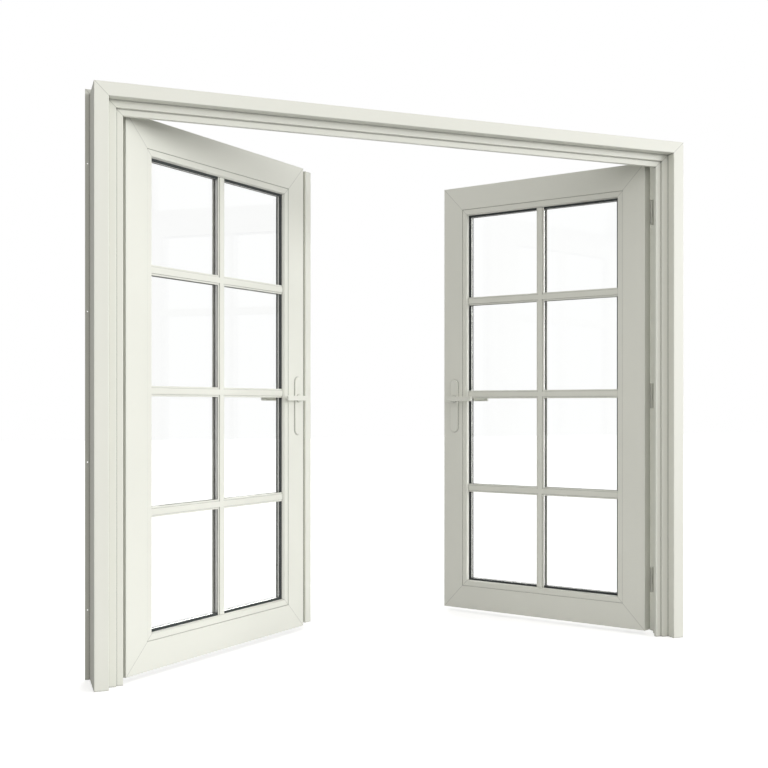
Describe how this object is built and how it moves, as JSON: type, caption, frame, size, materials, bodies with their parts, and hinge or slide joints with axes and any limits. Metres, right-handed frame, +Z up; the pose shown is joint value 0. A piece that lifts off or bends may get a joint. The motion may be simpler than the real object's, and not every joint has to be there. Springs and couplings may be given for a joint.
{
  "type": "french doors",
  "caption": "Glazed french doors with barred panes and lever handles, standing open in a mitred plastic frame with no threshold",
  "frame": {"origin": "on the floor line, midway between the jambs, in the plane of the frame's room face", "axes": "X runs along the frame to the right as seen from the room, Y away from the room, Z up"},
  "size_m": [2.403, 1.0512, 2.1165],
  "materials": {
    "frame_plastic": "smooth satin off-white",
    "leaf_plastic": "smooth satin off-white",
    "bead_plastic": "smooth satin off-white",
    "bar_plastic": "smooth satin off-white",
    "cap_plastic": "matt off-white",
    "bar_inner_metal": "matt light grey",
    "glass": "clear",
    "spacer_metal": "matt light grey",
    "seal_black": "matt black",
    "handle_metal": "satin off-white",
    "hinge_metal": "satin off-white",
    "lock_steel": "plain zinc"
  },
  "bodies": {
    "frame": {"jamb_left": "frame_plastic", "jamb_right": "frame_plastic", "head": "frame_plastic", "frame_seals": "seal_black", "head_keep": "lock_steel", "hinge_frame_left": "hinge_metal", "hinge_frame_right": "hinge_metal", "hinge_pins_left": "hinge_metal", "hinge_pins_right": "hinge_metal"},
    "left_leaf": {"stile_hinge_left": "leaf_plastic", "stile_lock_left": "leaf_plastic", "rail_top_left": "leaf_plastic", "rail_bottom_left": "leaf_plastic", "beads_left": "bead_plastic", "panes_left": "glass", "spacer_left": "spacer_metal", "gaskets_left": "seal_black", "bars_front_left": "bar_plastic", "bars_rear_left": "bar_plastic", "bars_inner_left": "bar_inner_metal", "backplates_left": "handle_metal", "hinge_leaf_left": "hinge_metal", "lock_case_left": "lock_steel", "faceplate_left": "lock_steel", "astragal": "leaf_plastic", "astragal_caps": "cap_plastic", "astragal_seal": "seal_black"},
    "right_leaf": {"stile_hinge_right": "leaf_plastic", "stile_lock_right": "leaf_plastic", "rail_top_right": "leaf_plastic", "rail_bottom_right": "leaf_plastic", "beads_right": "bead_plastic", "panes_right": "glass", "spacer_right": "spacer_metal", "gaskets_right": "seal_black", "bars_front_right": "bar_plastic", "bars_rear_right": "bar_plastic", "bars_inner_right": "bar_inner_metal", "backplates_right": "handle_metal", "hinge_leaf_right": "hinge_metal", "lock_case_right": "lock_steel", "faceplate_right": "lock_steel"},
    "left_handle": {"lever_front_left": "handle_metal", "lever_rear_left": "handle_metal", "spindle_left": "lock_steel"},
    "right_handle": {"lever_front_right": "handle_metal", "lever_rear_right": "handle_metal", "spindle_right": "lock_steel"},
    "latch": {"latch_bolt": "lock_steel"},
    "upper_bolt": {"bolt_top": "lock_steel"},
    "lower_bolt": {"bolt_bottom": "lock_steel"}
  },
  "joints": [
    {"name": "left_leaf_swing", "type": "hinge", "parent": "frame", "child": "left_leaf", "pos_m": [-1.112, 0.14, 1.025], "axis": [0, 0, 1], "range_deg": [-41, 59]},
    {"name": "right_leaf_swing", "type": "hinge", "parent": "frame", "child": "right_leaf", "pos_m": [1.112, 0.14, 1.025], "axis": [0, 0, -1], "range_deg": [-58, 42]},
    {"name": "left_lever_turn", "type": "hinge", "parent": "left_leaf", "child": "left_handle", "pos_m": [-0.30819, 0.79369, 1.015], "axis": [0.6561, -0.7547, 0], "range_deg": [0, 40], "stiffness_Nm_per_rad": 0.8, "springref_deg": -14.32},
    {"name": "latch_slide", "type": "slide", "parent": "left_leaf", "child": "latch", "axis": [-0.7547, -0.6561, 0], "range_m": [0, 0.013]},
    {"name": "right_lever_turn", "type": "hinge", "parent": "right_leaf", "child": "right_handle", "pos_m": [0.54397, 0.98487, 1.015], "axis": [0.848, 0.5299, 0], "range_deg": [0, 90]},
    {"name": "upper_bolt_slide", "type": "slide", "parent": "right_leaf", "child": "upper_bolt", "axis": [0, 0, 1], "range_m": [0, 0.016]},
    {"name": "lower_bolt_slide", "type": "slide", "parent": "right_leaf", "child": "lower_bolt", "axis": [0, 0, -1], "range_m": [0, 0.016]}
  ],
  "couplings": [
    {"joint": "latch_slide", "follows": "left_lever_turn", "m_per_rad": 0.01862},
    {"joint": "upper_bolt_slide", "follows": "right_lever_turn", "m_per_rad": 0.010185},
    {"joint": "lower_bolt_slide", "follows": "right_lever_turn", "m_per_rad": 0.010185}
  ]
}
